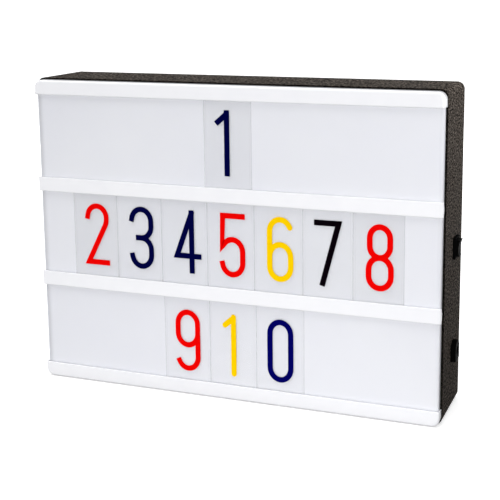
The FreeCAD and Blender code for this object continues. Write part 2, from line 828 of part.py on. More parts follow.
def board_plugs():
    half = plug_length / 2
    plugs = [block(left_plug_x, left_plug_x + plug_depth, plug_y, board_front_y, board_z - half,
                   board_z + half)]
    for z in right_plug_z:
        plugs.append(block(right_plug_x - plug_depth, right_plug_x, plug_y, board_front_y, z - half,
                           z + half))
    plugs.append(block(board_x - half, board_x + half, plug_y, board_front_y, top_plug_z - plug_depth,
                       top_plug_z))
    return plugs


def board_parts():
    chip = slab(board_x, chip_width / 2, board_front_y - chip_height, board_front_y, board_z,
                chip_length / 2)
    coil_x = board_x - coil_side / 2 - part_gap
    coil_z = board_low + coil_side / 2 + part_gap
    coil = rounded_block(coil_x - coil_side / 2, coil_x + coil_side / 2, board_front_y - coil_height,
                         board_front_y, coil_z - coil_side / 2, coil_z + coil_side / 2, "y", coil_corner)
    return [chip, coil]


def board_capacitor():
    top_y = board_front_y - capacitor_height
    can = rod_y(capacitor_radius, board_x + capacitor_radius + part_gap,
                board_low + capacitor_radius + part_gap, top_y, board_front_y)
    return round_face(can, "y", top_y, capacitor_round)


# ---------------------------------------------------------------- screws
def casing_screws():
    screws = []
    top = head_seat_y + screw_head_height
    for x, z in boss_places:
        head = round_face(rod_y(screw_head_radius, x, z, head_seat_y, top), "y", top, screw_head_round)
        shank = rod_y(screw_radius, x, z, screw_tip_y, head_seat_y + screw_head_height / 2)
        cross = [slab(x, half_x, top - cross_depth, top + over, z, half_z)
                 for half_x, half_z in ((cross_length / 2, cross_width / 2),
                                        (cross_width / 2, cross_length / 2))]
        screws.append(cut_all(fused([head, shank]), cross))
    return screws


def board_screws():
    screws = []
    for x, z in board_holes:
        head = rod_y(board_screw_head_radius, x, z, board_front_y - board_screw_head_height, board_front_y)
        shank = rod_y(board_screw_radius, x, z, board_front_y - board_screw_head_height / 2,
                      board_front_y + board_screw_reach)
        screws.append(fused([head, shank]))
    return screws


# ---------------------------------------------------------------- wiring
def battery_wires():
    """One lead from the near tab, and one from the far tab along the tray's upper side."""
    x1 = left_plug_x
    y1 = plug_wire_y
    near_z = board_z - plug_wire_spacing / 2
    far_z = board_z + plug_wire_spacing / 2
    near = [(tab_end_x, cell_y, row_z[0]), (tab_end_x + 6.5, cell_y, row_z[0]),
            (x1 - 6.5, y1, near_z), (x1, y1, near_z)]
    x0 = -tab_end_x
    span = tab_end_x - x0
    z0 = row_z[-1]
    over_z = tray_high + 4.0
    far = [(x0, cell_y, z0), (x0 - 6.0, cell_y, z0), (x0 - 10.0, cell_y + 0.5, z0 + 5.0),
           (x0 - 8.5, cell_y + 1.0, over_z - 3.0), (x0, cell_y + 1.5, over_z + 0.5),
           (x0 + span * 0.15, cell_y + 2.0, over_z), (x0 + span * 0.4, cell_y + 1.5, over_z + 1.0),
           (x0 + span * 0.7, cell_y + 2.0, over_z + 0.5), (tab_end_x - 6.0, cell_y + 1.5, over_z + 0.5),
           (tab_end_x + 3.0, y1 + 2.0, over_z - 3.0), (tab_end_x + 8.0, y1 + 0.5, over_z - 12.0),
           (tab_end_x + 8.5, y1 + 0.2, far_z + 9.0), (tab_end_x + 11.0, y1, far_z + 2.5),
           (x1 - 4.0, y1, far_z), (x1, y1, far_z)]
    return [wire_tube(near, wire_diameter, "near battery wire"),
            wire_tube(far, wire_diameter, "far battery wire")]


def switch_wires():
    wires = []
    for side in (-1, 1):
        z0 = switch_z + side * switch_terminal_spacing / 2
        z1 = right_plug_z[1] + side * plug_wire_spacing / 2
        wires.append(wire_tube([(switch_wire_x, side_y, z0), (switch_wire_x - 6.0, side_y, z0),
                                (right_plug_x + 6.0, plug_wire_y, z1), (right_plug_x, plug_wire_y, z1)],
                               wire_diameter, "switch wire"))
    return wires


def inlet_wires():
    """The upper lead rises nearer the wall, so that the two never cross."""
    wires = []
    x0 = inlet_back_x - inlet_terminal_length
    x1 = right_plug_x
    span = x0 - x1
    for side, column_share, bend_width in ((-1, 0.46, span * 0.34), (1, 0.58, span * 0.434)):
        z0 = inlet_z + side * inlet_terminal_spacing / 2
        z1 = right_plug_z[0] + side * plug_wire_spacing / 2
        column = x1 + span * column_share
        near = bend_width * 0.27
        far = bend_width * 0.73
        wires.append(wire_tube([(x0, side_y, z0), (column + span * 0.2, side_y, z0),
                                (column + span * 0.04, side_y + 2.0, z0 + 2.8),
                                (column, side_y + 5.5, z0 + 9.0),
                                (column + 0.3, plug_wire_y - 0.2, z0 + 22.0),
                                (column, plug_wire_y, z1 - far),
                                (column - near, plug_wire_y, z1 - near),
                                (column - far, plug_wire_y, z1), (x1, plug_wire_y, z1)],
                               wire_diameter, "inlet wire"))
    return wires


def light_wires():
    wires = []
    y0 = plug_wire_y
    y1 = strip_plug_wire_y
    for side in (-1, 1):
        start_x = board_x + side * plug_wire_spacing / 2
        x = feed_x + side * plug_wire_spacing / 2
        wires.append(wire_tube([(start_x, y0, top_plug_z), (start_x, y0, top_plug_z + 8.0),
                                (x, y0 - 4.0, wire_hole_z - 6.5), (x, y0 - 11.5, wire_hole_z + 0.5),
                                (x, y1 + 3.2, wire_hole_z + 0.2), (x, y1, wire_hole_z - 3.5),
                                (x, y1, strip_plug_z)], wire_diameter, "light wire"))
    return wires


def strip_links():
    """Pairs of straight jumpers between neighbouring strips."""
    y = reflector_y - strip_thickness / 2
    links = []
    for low, high in zip(strip_z, strip_z[1:]):
        for x in (strip_half - link_end_inset, strip_half - link_end_inset - link_spacing):
            links.append(Part.makeCylinder(link_diameter / 2, high - low - strip_width,
                                           V(x, y, low + strip_width / 2), V(0, 0, 1)))
    return links


# ---------------------------------------------------------------- write the pieces
save("rear_casing", [rear_casing()])
save("front_cover", [front_cover()])
save("rail_bottom", [rail(0)])
save("rail_lower", [rail(1)])
save("rail_upper", [rail(2)])
save("rail_top", [rail(row_count)])
for row_index, (cards_in_row, group_middle) in enumerate(card_rows):
    for place_index in range(cards_in_row):
        save("card_%d_%d" % (row_index + 1, place_index + 1), [card(row_index, place_index)])
save("reflector_plate", [reflector_plate()])
save("led_strips", led_strips())
save("leds", leds())
save("strip_plug", [strip_plug()])
save("switch_housing", [switch_housing()])
save("switch_rocker", [switch_rocker()])
save("switch_terminals", terminal_pair(housing_back_x, switch_terminal_length, switch_terminal_width,
                                       switch_terminal_thickness, switch_z, switch_terminal_spacing))
save("inlet_socket", [inlet_socket()])
save("inlet_pin", [inlet_pin()])
save("inlet_terminals", terminal_pair(inlet_back_x, inlet_terminal_length, inlet_terminal_width,
                                      inlet_terminal_thickness, inlet_z, inlet_terminal_spacing))
save("battery_tray", [battery_tray()])
save("battery_contacts", battery_contacts())
save("battery_cells", battery_cells())
save("battery_door", [battery_door()])
save("driver_board", [driver_board()])
save("board_plugs", board_plugs())
save("board_parts", board_parts())
save("board_capacitor", [board_capacitor()])
save("casing_screws", casing_screws())
save("board_screws", board_screws())
save("battery_wires", battery_wires())
save("switch_wires", switch_wires())
save("inlet_wires", inlet_wires())
save("light_wires", light_wires())
save("strip_links", strip_links())
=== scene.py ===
import math

import bmesh
import bpy
from mathutils import Matrix, Vector


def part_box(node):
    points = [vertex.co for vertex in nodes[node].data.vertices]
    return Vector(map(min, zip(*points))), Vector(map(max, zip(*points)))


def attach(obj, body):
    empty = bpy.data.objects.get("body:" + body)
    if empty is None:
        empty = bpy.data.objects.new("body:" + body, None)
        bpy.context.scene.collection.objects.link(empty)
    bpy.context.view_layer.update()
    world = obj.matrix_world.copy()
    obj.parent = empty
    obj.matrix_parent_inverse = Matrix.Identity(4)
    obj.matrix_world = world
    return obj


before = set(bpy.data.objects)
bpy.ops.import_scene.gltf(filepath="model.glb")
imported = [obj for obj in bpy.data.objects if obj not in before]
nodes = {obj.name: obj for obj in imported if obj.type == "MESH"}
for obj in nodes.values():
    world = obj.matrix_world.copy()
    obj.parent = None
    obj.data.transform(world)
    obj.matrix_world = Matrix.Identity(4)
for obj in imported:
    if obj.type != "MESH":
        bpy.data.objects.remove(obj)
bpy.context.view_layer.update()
scene = bpy.context.scene
scene.view_settings.view_transform = "Standard"


# ------------------------------------------------------------------ camera
CAMERA_LOOK = (-0.35005, 0.91967, -0.17799)      # the way it looks: from the right front, downwards
CAMERA_RIGHT = (0.93507, 0.35437, -0.00798)      # the way to the right in its picture
CAMERA_PLACE = (0.29055, -0.71261, 0.29553)
CAMERA_LENS = 79.59                              # millimetres
CAMERA_SENSOR = 36.0                             # its width in millimetres
CAMERA_SHIFT = (-0.0378, -0.15)
CAMERA_CLIP = (0.01, 200.0)


def make_camera():
    look = Vector(CAMERA_LOOK).normalized()
    right = Vector(CAMERA_RIGHT)
    right = (right - look * right.dot(look)).normalized()
    up = right.cross(look)
    data = bpy.data.cameras.new("camera")
    data.sensor_fit = "HORIZONTAL"
    data.sensor_width = CAMERA_SENSOR
    data.lens = CAMERA_LENS
    data.shift_x, data.shift_y = CAMERA_SHIFT
    data.clip_start, data.clip_end = CAMERA_CLIP
    camera = bpy.data.objects.new("camera", data)
    turn = Matrix((right, up, -look)).transposed().to_4x4()
    camera.matrix_world = Matrix.Translation(CAMERA_PLACE) @ turn
    scene.collection.objects.link(camera)
    scene.camera = camera


# ------------------------------------------------------------------ shader nodes
FIRST_COLOUR, SECOND_COLOUR, MIXED_COLOUR = 6, 7, 2      # sockets of a Mix node for colours
FIRST_NUMBER, SECOND_NUMBER, MIXED_NUMBER = 2, 3, 0      # and of one for numbers


def fill(tree, node, sockets):
    """Gives each named or numbered socket of a node its value, or a link where it is a socket."""
    for name, value in sockets.items():
        if isinstance(value, bpy.types.NodeSocket):
            tree.links.new(value, node.inputs[name])
        else:
            node.inputs[name].default_value = value


def add(tree, kind, sockets=None, **settings):
    """A new shader node of a kind, with its settings and its sockets' values or links."""
    node = tree.nodes.new("ShaderNode" + kind)
    for name, value in settings.items():
        setattr(node, name, value)
    fill(tree, node, sockets or {})
    return node


def shader_of(name):
    """A new node material and its tree, shader and texture coordinates."""
    material = bpy.data.materials.new(name)
    material.use_nodes = True
    tree = material.node_tree
    return material, tree, tree.nodes["Principled BSDF"], add(tree, "TexCoord").outputs


def noise(tree, place, scale, detail=2.0, rough=0.5, stretch=None):
    """A noise texture of so many features per metre; stretch scales it along X, Y and Z."""
    if stretch:
        place = add(tree, "Mapping", {"Scale": stretch, "Vector": place}).outputs["Vector"]
    return add(tree, "TexNoise", {"Scale": scale, "Detail": detail, "Roughness": rough,
                                  "Vector": place}).outputs["Fac"]


def ramp(tree, factor, stops):
    """A colour ramp through (position, colour) stops in rising order; a lone number is a grey."""
    node = add(tree, "ValToRGB", {"Fac": factor})
    elements = node.color_ramp.elements
    elements[0].position = stops[0][0]
    elements[1].position = stops[-1][0]
    for position, _ in stops[1:-1]:
        elements.new(position)
    for element, (_, colour) in zip(elements, stops):
        element.color = (*colour, 1) if isinstance(colour, tuple) else (colour, colour, colour, 1)
    return node.outputs["Color"]


def map_range(tree, value, start, end, low=0.0, high=1.0):
    """Maps a value from start..end to low..high, and no further."""
    return add(tree, "MapRange", {"Value": value, "From Min": start, "From Max": end,
                                  "To Min": low, "To Max": high}).outputs["Result"]


def spread(tree, factor, low, high):
    """Maps the range that a noise mostly takes to low..high."""
    return map_range(tree, factor, 0.25, 0.75, low, high)


def calculate(tree, operation, first, second=0.0):
    return add(tree, "Math", {0: first, 1: second}, operation=operation).outputs["Value"]


def mix(tree, factor, first, second, blend="MIX"):
    """Two colours mixed by a factor, or blended in another way."""
    return add(tree, "Mix", {0: factor, FIRST_COLOUR: first, SECOND_COLOUR: second},
               data_type="RGBA", blend_type=blend).outputs[MIXED_COLOUR]


def along(tree, vector, axis):
    """A vector's X, Y or Z."""
    return add(tree, "SeparateXYZ", {"Vector": vector}).outputs[axis]


def bump(tree, shader, height, strength, distance):
    relief = add(tree, "Bump", {"Strength": strength, "Distance": distance, "Height": height})
    tree.links.new(relief.outputs["Normal"], shader.inputs["Normal"])


# ------------------------------------------------------------------ materials
BROAD = 14.0                 # how much larger the patches of sheen are than the grain
COAT_ROUGHNESS = 0.08


def surface(name, dark, light, grain=900.0, rough=(0.35, 0.45), relief=0.0, depth=0.0001,
            metallic=0.0, specular=0.5, coat=0.0, stretch=None, edges=(0.3, 0.7)):
    """A moulded, printed or metal surface with its own grain, sheen and relief. Where the grain
    passes edges, the colour turns from dark to light."""
    material, tree, shader, place = shader_of(name)
    fine = noise(tree, place["Object"], grain, rough=0.55, stretch=stretch)
    broad = noise(tree, place["Object"], grain / BROAD, stretch=stretch)
    fill(tree, shader, {
        "Base Color": ramp(tree, fine, ((edges[0], dark), (edges[1], light))),
        "Roughness": spread(tree, broad, *rough), "Metallic": metallic,
        "Specular IOR Level": specular, "Coat Weight": coat, "Coat Roughness": COAT_ROUGHNESS})
    if relief:
        bump(tree, shader, fine, relief, depth)
    return material


# How pale the case is by the way a face looks, from 0 to the front, over 0.5 to the side or up, to
# 1 to the back: its narrow front rim is smooth plastic painted dark as shade of the gap between
# cover and case, and the rounding around its back is darker too.
CASE_PALENESS_AND_PAINTED_RIM_SHADE = ((0.0, 0.12), (0.15, 0.12), (0.35, 1.0), (0.56, 1.0), (0.64, 0.3), (0.90, 0.3),
                 (0.97, 1.0), (1.0, 1.0))
CASE_CALM = ((0.90, 0.0), (0.97, 0.6))           # how far the back's grains fade into one tone
CASE_TONE = (0.064, 0.054, 0.046, 1)


def texture_of_case(name):
    """Coarse spark-eroded plastic: pale grains on a near-black ground, calmer on the back."""
    material = surface(name, (0.0010, 0.0008, 0.0006), (0.182, 0.154, 0.132), grain=780.0,
                       rough=(0.6, 0.75), relief=0.6, depth=0.0002, specular=0.006,
                       edges=(0.41, 0.72), stretch=(1.0, 0.56, 1.0))
    tree = material.node_tree
    colour = tree.nodes["Principled BSDF"].inputs["Base Color"]
    grains = colour.links[0].from_socket
    normal = add(tree, "NewGeometry").outputs["True Normal"]
    facing = map_range(tree, along(tree, normal, "Y"), -1.0, 1.0)
    grains = mix(tree, ramp(tree, facing, CASE_CALM), grains, CASE_TONE)
    # the paleness by facing paints the front rim dark as shade of the gap between cover and case
    tree.links.new(mix(tree, 1.0, grains, ramp(tree, facing, CASE_PALENESS_AND_PAINTED_RIM_SHADE), "MULTIPLY"), colour)
    return material


# Painted shade on the sheet's rounded edges: it is a little darker near its left and right ends, as
# shares of its width.
SHEET_ENDS_PAINTED_SHADE = ((0.0, (0.76, 0.77, 0.79)), (0.007, 0.78), (0.011, 0.90), (0.017, 1.0), (0.990, 1.0),
              (0.995, 0.96), (1.0, 0.90))


def opal(name):
    """Satin opal sheet: even, faintly cool, with a little light inside it, and painted shade near
    its left and right ends.
    """
    material, tree, shader, place = shader_of(name)
    cloud = noise(tree, place["Object"], 9.0, 3.0)
    fine = noise(tree, place["Object"], 1500.0)
    sheet = ramp(tree, cloud, ((0.3, (0.733, 0.741, 0.790)), (0.7, (0.763, 0.771, 0.811))))
    # painted shade near the sheet's left and right ends
    ends = ramp(tree, along(tree, place["Generated"], "X"), SHEET_ENDS_PAINTED_SHADE)
    fill(tree, shader, {
        "Base Color": mix(tree, 1.0, sheet, ends, "MULTIPLY"),
        "Roughness": spread(tree, fine, 0.36, 0.46), "Specular IOR Level": 0.35,
        "Subsurface Weight": 0.25, "Subsurface Radius": (1.0, 1.0, 1.1), "Subsurface Scale": 0.002})
    bump(tree, shader, fine, 0.05, 0.00005)
    return material


# What a card's rim and the two faint lines beside it add to its density, by share of its width.
CARD_RIM = ((0.0, 0.07), (0.012, 0.07), (0.016, 0.0), (0.036, 0.0), (0.040, 0.03), (0.050, 0.03),
            (0.054, 0.0), (0.946, 0.0), (0.950, 0.03), (0.960, 0.03), (0.964, 0.0), (0.984, 0.0),
            (0.988, 0.07), (1.0, 0.07))
CARD_CUT_EDGE = 0.16         # the density of its cut edges


def clear_card(name, density_with_painted_shade):
    """Clear sheet: its faces let most light through, its cut edges and its rim look denser."""
    material, tree, shader, place = shader_of(name)
    normal = add(tree, "NewGeometry").outputs["Normal"]
    facing = calculate(tree, "ABSOLUTE", along(tree, normal, "Y"))
    # the faces' density carries painted shade, set card by card
    body = map_range(tree, facing, 0.4, 0.9, CARD_CUT_EDGE, density_with_painted_shade)
    rim = ramp(tree, along(tree, place["Generated"], "X"), CARD_RIM)
    haze = noise(tree, place["Object"], 60.0, 3.0)
    fill(tree, shader, {
        "Alpha": calculate(tree, "ADD", body, rim),
        "Base Color": ramp(tree, haze, ((0.3, (0.60, 0.61, 0.63)), (0.7, (0.68, 0.69, 0.70)))),
        "Roughness": spread(tree, haze, 0.10, 0.18), "Specular IOR Level": 0.6})
    return material


BANDS = 6.1                  # scale of the wave that makes one pale band on each cell


def printed_film(name, body, band, speck):
    """A cell's plain film: a paler band around each cell, and fine specks of a third colour."""
    material, tree, shader, place = shader_of(name)
    fine = noise(tree, place["Object"], 700.0)
    wave = add(tree, "TexWave", {"Scale": BANDS, "Distortion": 0.0, "Vector": place["Object"]},
               wave_type="BANDS", bands_direction="X").outputs["Fac"]
    film = ramp(tree, wave, ((0.70, body), (0.72, band)))
    fill(tree, shader, {
        "Base Color": mix(tree, spread(tree, fine, 0.0, 0.12), film, (*speck, 1)),
        "Roughness": spread(tree, fine, 0.18, 0.26), "Metallic": 0.35, "Coat Weight": 0.5})
    return material


def board(name):
    """Solder mask with faint tracks under it."""
    material, tree, shader, place = shader_of(name)
    upright = add(tree, "Mapping", {"Rotation": (math.radians(90), 0, 0), "Vector": place["Object"]})
    brick = add(tree, "TexBrick", {
        "Scale": 260.0, "Mortar Size": 0.03, "Vector": upright.outputs["Vector"],
        "Color1": (0.010, 0.115, 0.050, 1), "Color2": (0.014, 0.150, 0.066, 1),
        "Mortar": (0.020, 0.210, 0.095, 1)})
    fill(tree, shader, {
        "Base Color": brick.outputs["Color"],
        "Roughness": spread(tree, noise(tree, place["Object"], 500.0), 0.22, 0.34)})
    bump(tree, shader, brick.outputs["Fac"], 0.2, 0.00005)
    return material


def ink(name, colour):
    """Printing ink with little gloss, slightly uneven in its cover."""
    deep = tuple(value * 0.9 for value in colour)
    return surface(name, deep, colour, grain=420.0, rough=(0.45, 0.55), relief=0.04, depth=0.00003,
                   specular=0.003)


def paint(material, *names):
    for name in names:
        data = nodes[name].data
        if not data.materials:
            data.materials.append(material)
        for slot in nodes[name].material_slots:
            slot.link = "OBJECT"
            slot.material = material


# Name, dark and light colour, what else surface() takes, and the nodes that have this surface.
SURFACES = (
    ("door_texture", (0.024, 0.021, 0.019), (0.068, 0.059, 0.052),
     dict(grain=1500.0, rough=(0.5, 0.62), relief=0.4, depth=0.0001, specular=0.15),
     "battery_door"),
    ("rail_gloss", (0.835, 0.838, 0.870), (0.855, 0.858, 0.885),
     dict(grain=70.0, rough=(0.13, 0.19), relief=0.03, depth=0.0002, specular=0.4, coat=0.2),
     "rail_bottom rail_lower rail_upper rail_top"),
    ("reflector_matt", (0.84, 0.84, 0.83), (0.90, 0.90, 0.885),
     dict(grain=500.0, rough=(0.5, 0.62), relief=0.1), "reflector_plate"),
    ("strip_mask", (0.80, 0.80, 0.775), (0.87, 0.87, 0.85),
     dict(grain=650.0, rough=(0.35, 0.48), relief=0.08), "led_strips"),
    ("led_resin", (0.80, 0.60, 0.12), (0.90, 0.76, 0.26),
     dict(grain=600.0, rough=(0.12, 0.2), coat=0.6), "leds"),
    ("plug_nylon", (0.72, 0.68, 0.56), (0.80, 0.76, 0.66),
     dict(grain=800.0, rough=(0.3, 0.4), relief=0.06), "strip_plug board_plugs"),
    ("switch_body", (0.0006, 0.0006, 0.0006), (0.003, 0.003, 0.003),
     dict(grain=1700.0, rough=(0.5, 0.6), relief=0.25, depth=0.00005, specular=0.003),
     "switch_housing"),
    ("rocker_gloss", (0.0008, 0.0008, 0.0008), (0.003, 0.003, 0.003),
     dict(grain=1100.0, rough=(0.38, 0.48), relief=0.06, depth=0.00004, specular=0.004),
     "switch_rocker"),
    ("inlet_gloss", (0.0006, 0.0006, 0.0006), (0.003, 0.0028, 0.0026),
     dict(grain=1300.0, rough=(0.42, 0.52), relief=0.12, depth=0.00004, specular=0.003),
     "inlet_socket"),
    ("tinned", (0.58, 0.58, 0.57), (0.72, 0.72, 0.71),
     dict(grain=700.0, rough=(0.22, 0.36), relief=0.08, metallic=1.0),
     "switch_terminals inlet_terminals strip_links"),
    ("pin_plating", (0.20, 0.195, 0.18), (0.32, 0.31, 0.29),
     dict(grain=900.0, rough=(0.45, 0.60), relief=0.08, metallic=1.0), "inlet_pin"),
    ("spring_nickel", (0.60, 0.585, 0.55), (0.74, 0.73, 0.69),
     dict(grain=420.0, rough=(0.18, 0.34), relief=0.1, metallic=1.0, stretch=(1, 1, 9)),
     "battery_contacts"),
    ("tray_texture", (0.016, 0.016, 0.016), (0.034, 0.033, 0.032),
     dict(grain=1200.0, rough=(0.45, 0.58), relief=0.3, depth=0.0001, specular=0.35),
     "battery_tray"),
    ("chip_epoxy", (0.014, 0.014, 0.016), (0.028, 0.028, 0.030),
     dict(grain=1500.0, rough=(0.45, 0.6), relief=0.2, depth=0.00004), "board_parts"),
    ("capacitor_sleeve", (0.012, 0.020, 0.060), (0.022, 0.034, 0.090),
     dict(grain=900.0, rough=(0.2, 0.3), coat=0.3), "board_capacitor"),
    ("screw_black_steel", (0.16, 0.16, 0.165), (0.27, 0.27, 0.275),
     dict(grain=900.0, rough=(0.3, 0.45), relief=0.12, metallic=1.0),
     "casing_screws board_screws"),
    ("sleeve_red", (0.36, 0.012, 0.010), (0.46, 0.022, 0.018),
     dict(grain=1400.0, rough=(0.4, 0.52), relief=0.1, depth=0.00005),
     "battery_wires light_wires"),
    ("sleeve_black", (0.012, 0.012, 0.012), (0.022, 0.022, 0.022),
     dict(grain=1400.0, rough=(0.4, 0.52), relief=0.1, depth=0.00005),
     "switch_wires inlet_wires"),
)
# How dense the cards' faces look: their haze, with painted shade in how much it differs from card
# to card; the two end cards of the middle row are the densest.
CARD_DENSITIES_AND_PAINTED_SHADE = (
    ("upper", 0.08, "card_1_1"),
    ("middle_ends", 0.093, "card_2_1 card_2_7"),
    ("middle", 0.068, "card_2_2 card_2_3 card_2_4 card_2_5 card_2_6"),
    ("lower", 0.035, "card_3_1 card_3_2 card_3_3"),
)


def finish_nodes():
    paint(texture_of_case("case_texture"), "rear_casing")
    paint(opal("opal_sheet"), "front_cover")
    paint(printed_film("cell_film", (0.055, 0.060, 0.072), (0.36, 0.38, 0.40), (0.60, 0.60, 0.60)),
          "battery_cells")
    paint(board("board_mask"), "driver_board")
    # each card's density carries painted shade as well as its haze
    for label, density_with_painted_shade, names in CARD_DENSITIES_AND_PAINTED_SHADE:
        paint(clear_card("card_sheet_" + label, density_with_painted_shade), *names.split())
    for name, dark, light, more, names in SURFACES:
        paint(surface(name, dark, light, **more), *names.split())


# ------------------------------------------------------------------ printed numbers
# All sizes of the numbers are in millimetres. A numeral's points are (across, up) from its middle
# line and its lowest centre line, and the bare numbers among them are places on its own shape.
STROKE = 3.9                 # width of the line
HIGH = 45.4 - STROKE         # from the lowest to the highest centre line
HALF = 7.6                   # half the width between centre lines
BOWL = 8.6                   # height of a round end
INK_DEPTH = 0.05             # how far the print stands proud of its card
CAP_STEP = 15                # degrees between the points of a half-round end
SHARPEST = 0.4               # limits a mitre's reach at a sharp corner
SAME_PLACE = 1e-4            # points this near to each other count as one
METRE = 1000


def arc(x, z, across, up, start, end, steps=14):
    """Points along a part of an ellipse, from one angle to another in degrees."""
    found = []
    for index in range(steps + 1):
        angle = math.radians(start + (end - start) * index / steps)
        found.append((x + across * math.cos(angle), z + up * math.sin(angle)))
    return found


def loop(low, high, across, up):
    """A closed line with straight sides and round ends."""
    return arc(0, high - up, across, up, 0, 180) + arc(0, low + up, across, up, 180, 360)


def number_strokes(digit):
    """The centre lines of a thin, narrow numeral: (points, closed)."""
    mid = HIGH * 0.5
    if digit == "0":
        return [(loop(0, HIGH, HALF, BOWL), True)]
    if digit == "1":
        return [([(0, 0), (0, HIGH)], False), ([(-1.2, HIGH - 1.7), (-6.4, HIGH - 6.2)], False)]
    if digit == "2":
        top = arc(0, HIGH - BOWL, HALF, BOWL, 176, 0)
        return [(top + arc(-2.5, HIGH - BOWL, HALF + 2.5, 12, -6, -38, 6)
                 + [(-HALF, 0), (HALF, 0)], False)]
    if digit == "3":
        upper = (arc(0, HIGH - BOWL, HALF, BOWL, 172, 0) + arc(0, mid + BOWL, HALF, BOWL, 0, -90)
                 + [(-2.6, mid)])
        return [(upper, False), ([(x, HIGH - z) for x, z in upper], False)]
    if digit == "4":
        stem = 3.4
        bar = 10.5
        return [([(stem, HIGH - 0.6), (-HALF - 0.4, bar), (HALF + 1.2, bar)], False),
                ([(stem, 0), (stem, HIGH)], False)]
    if digit == "5":
        bowl = HIGH * 0.6
        return [([(HALF, HIGH), (-HALF + 0.6, HIGH), (-HALF, bowl - 5.2)]
                 + arc(0, bowl - BOWL, HALF, BOWL, 132, 0, 9) + arc(0, BOWL, HALF, BOWL, 0, -172),
                 False)]
    if digit in "69":
        rise = HIGH * 0.58
        found = [(loop(0, rise, HALF, BOWL), True),
                 ([(-HALF, BOWL + 1), (-HALF, HIGH - BOWL)]
                  + arc(0, HIGH - BOWL, HALF, BOWL, 174, 24), False)]
        if digit == "9":
            found = [([(-x, HIGH - z) for x, z in points], closed) for points, closed in found]
        return found
    if digit == "7":
        return [([(-HALF, HIGH), (HALF, HIGH), (-HALF * 0.45, 0)], False)]
    return [(loop(0, mid, HALF, BOWL - 0.4), True),
            (loop(mid, HIGH, HALF - 0.7, BOWL - 0.9), True)]


def offset_line(points, closed, side):
    """The points moved sideways by half a stroke, with mitred corners."""
    count = len(points)
    moved = []
    for index, point in enumerate(points):
        here = Vector(point)
        ways = []
        if closed or index:
            ways.append((here - Vector(points[index - 1])).normalized())
        if closed or index < count - 1:
            ways.append((Vector(points[(index + 1) % count]) - here).normalized())
        normals = [Vector((-way.y, way.x)) for way in ways]
        total = sum(normals, Vector((0, 0)))
        total.normalize()
        reach = STROKE / 2 / max(total.dot(normals[0]), SHARPEST)
        moved.append(here + total * reach * side)
    return moved


def end_cap(point, towards, round_end):
    """Ends a stroke half a stroke past its last point: square, or as a half round."""
    here = Vector(point)
    way = (here - Vector(towards)).normalized()
    left = Vector((-way.y, way.x))
    half = STROKE / 2
    if not round_end:
        return [here + way * half + left * half, here + way * half - left * half]
    return [here + (left * math.cos(math.radians(a)) + way * math.sin(math.radians(a))) * half
            for a in range(CAP_STEP, 180, CAP_STEP)]


def without_repeats(points):
    kept = []
    for point in points:
        if not kept or (Vector(point) - Vector(kept[-1])).length > SAME_PLACE:
            kept.append(point)
    return kept


def stroke_mesh(points, closed, round_ends, x, z, front, back):
    """One stroke of a numeral as a thin solid on the card's face, in metres."""
    points = without_repeats(points)
    if closed and (Vector(points[0]) - Vector(points[-1])).length < SAME_PLACE:
        points = points[:-1]
    left = offset_line(points, closed, 1)
    right = offset_line(points, closed, -1)
    mesh = bmesh.new()

    def at(point, y):
        return mesh.verts.new(((x + point.x) / METRE, y / METRE, (z + point.y) / METRE))

    left_front, left_back, right_front, right_back = [
        [at(point, y) for point in line] for line in (left, right) for y in (front, back)]
    count = len(points)
    for index in range(count if closed else count - 1):
        following = (index + 1) % count
        for a, b in ((left_front, right_front), (right_front, right_back), (right_back, left_back),
                     (left_back, left_front)):
            mesh.faces.new((a[index], a[following], b[following], b[index]))
    if not closed:
        for index, inner in ((0, 1), (count - 1, count - 2)):
            cap = [(at(point, front), at(point, back))
                   for point in end_cap(points[index], points[inner], round_ends)]
            ends = [(left_front[index], left_back[index]), (right_front[index], right_back[index])]
            if index == 0:
                ends.reverse()
            near, far = zip(ends[0], *cap, ends[1])
            mesh.faces.new(near)
            mesh.faces.new(far[::-1])
            for first in range(len(near) - 1):
                mesh.faces.new((near[first], far[first], far[first + 1], near[first + 1]))
    bmesh.ops.recalc_face_normals(mesh, faces=mesh.faces)
    data = bpy.data.meshes.new("stroke")
    mesh.to_mesh(data)
    mesh.free()
    piece = bpy.data.objects.new("stroke", data)
    scene.collection.objects.link(piece)
    return piece


def number_piece(name, digit, x, low, material, round_ends, body):
    """One numeral as one thin solid; x is its middle and low its foot."""
    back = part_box(body)[0].y * METRE
    front = back - INK_DEPTH
    strokes = [stroke_mesh(points, closed, round_ends, x, low + STROKE / 2, front, back)
               for points, closed in number_strokes(digit)]
    whole = strokes[0]
    for other in strokes[1:]:
        join = whole.modifiers.new("join", "BOOLEAN")
        join.operation = "UNION"
        join.solver = "EXACT"
        join.object = other
    bpy.context.view_layer.update()
    data = bpy.data.meshes.new_from_object(whole.evaluated_get(bpy.context.evaluated_depsgraph_get()))
    for stroke in strokes:
        bpy.data.objects.remove(stroke)
    data.name = name
    data.materials.clear()
    data.materials.append(material)
    piece = bpy.data.objects.new(name, data)
    scene.collection.objects.link(piece)
    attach(piece, body)


INKS = {"red": (0.87, 0.001, 0.0005), "navy": (0.0002, 0.0008, 0.043), "yellow": (1.0, 0.63, 0.0005),
        "black": (0.002, 0.0005, 0.002), "blue": (0.0003, 0.0003, 0.105)}
ROUND_ENDED = "yellow"       # only these numbers have round stroke ends
# A row of cards, the height of its numbers' feet, and each number's digit, middle and ink.
ROWS = (
    ("card_1", 160.5, (("1", -0.1, "navy"),)),
    ("card_2", 89.5, (("2", -102.6, "red"), ("3", -67.0, "navy"), ("4", -31.3, "navy"),
                      ("5", 2.9, "red"), ("6", 38.0, "yellow"), ("7", 71.8, "black"),
                      ("8", 107.7, "red"))),
    ("card_3", 17.3, (("9", -32.3, "red"), ("1", 2.9, "yellow"), ("0", 37.7, "blue"))),
)


